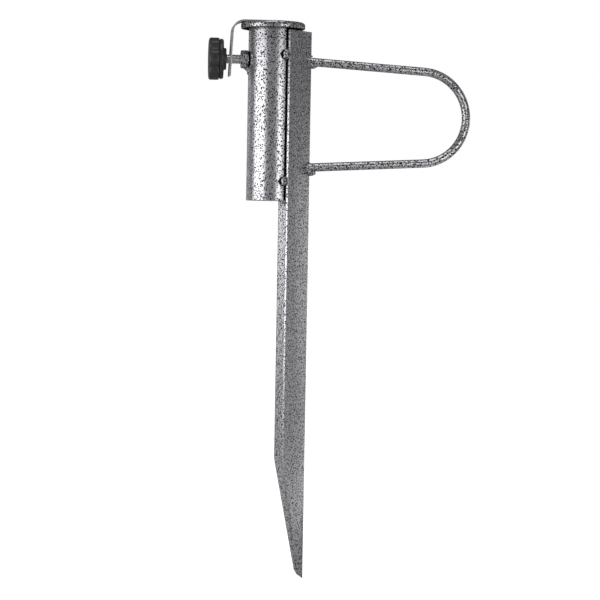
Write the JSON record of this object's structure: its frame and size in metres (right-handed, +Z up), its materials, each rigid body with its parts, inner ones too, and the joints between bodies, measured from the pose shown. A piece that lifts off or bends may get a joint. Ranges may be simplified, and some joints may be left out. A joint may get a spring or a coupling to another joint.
{
  "type": "post anchor spike",
  "caption": "Ground spike with a tube socket for a pole: angle-iron stake, bent bar handle, thumbscrew clamp and a lift-off cap on a strap.",
  "frame": {"origin": "on the socket tube's axis at the tube's lower end, which is the ground line", "axes": "+Z up along the tube and the spike, +X from the tube towards the handle, which lies in the X-Z plane; the thumbscrew points within 6 degrees of -X"},
  "size_m": [0.2228, 0.053, 0.4635],
  "materials": {
    "hammer_paint": "silver hammertone enamel with dark specks",
    "zinc_plate": "bright zinc plating",
    "knob_plastic": "black moulded plastic, fine grain"
  },
  "bodies": {
    "frame": {"socket_tube": "hammer_paint", "spike_angle": "hammer_paint", "handle_loop": "hammer_paint", "clamp_nut": "hammer_paint", "nut_weld": "hammer_paint", "handle_weld_upper": "hammer_paint", "handle_weld_lower": "hammer_paint", "seam_tack_upper_front": "hammer_paint", "seam_tack_upper_back": "hammer_paint", "seam_tack_lower_front": "hammer_paint", "seam_tack_lower_back": "hammer_paint"},
    "screw": {"clamp_screw": "zinc_plate"},
    "knob": {"knob_body": "knob_plastic"},
    "cover": {"cover_plate": "hammer_paint", "cover_strap": "zinc_plate", "strap_rivet_inner": "zinc_plate", "strap_rivet_outer": "zinc_plate"}
  },
  "joints": [
    {"name": "screw_advance", "type": "slide", "parent": "frame", "child": "screw", "axis": [0.9945, -0.1045, 0], "range_m": [-0.005, 0.001]},
    {"name": "knob_turn", "type": "hinge", "parent": "screw", "child": "knob", "pos_m": [-0.03799, 0.00399, 0.1161], "axis": [0.9945, -0.1045, 0], "range_deg": [-1441, 289]},
    {"name": "cover_lift_off", "type": "slide", "parent": "frame", "child": "cover", "axis": [0.3084, -0.0189, 0.9511], "range_m": [0, 0.2]}
  ],
  "couplings": [
    {"joint": "knob_turn", "follows": "screw_advance", "rad_per_m": 5026.5}
  ]
}
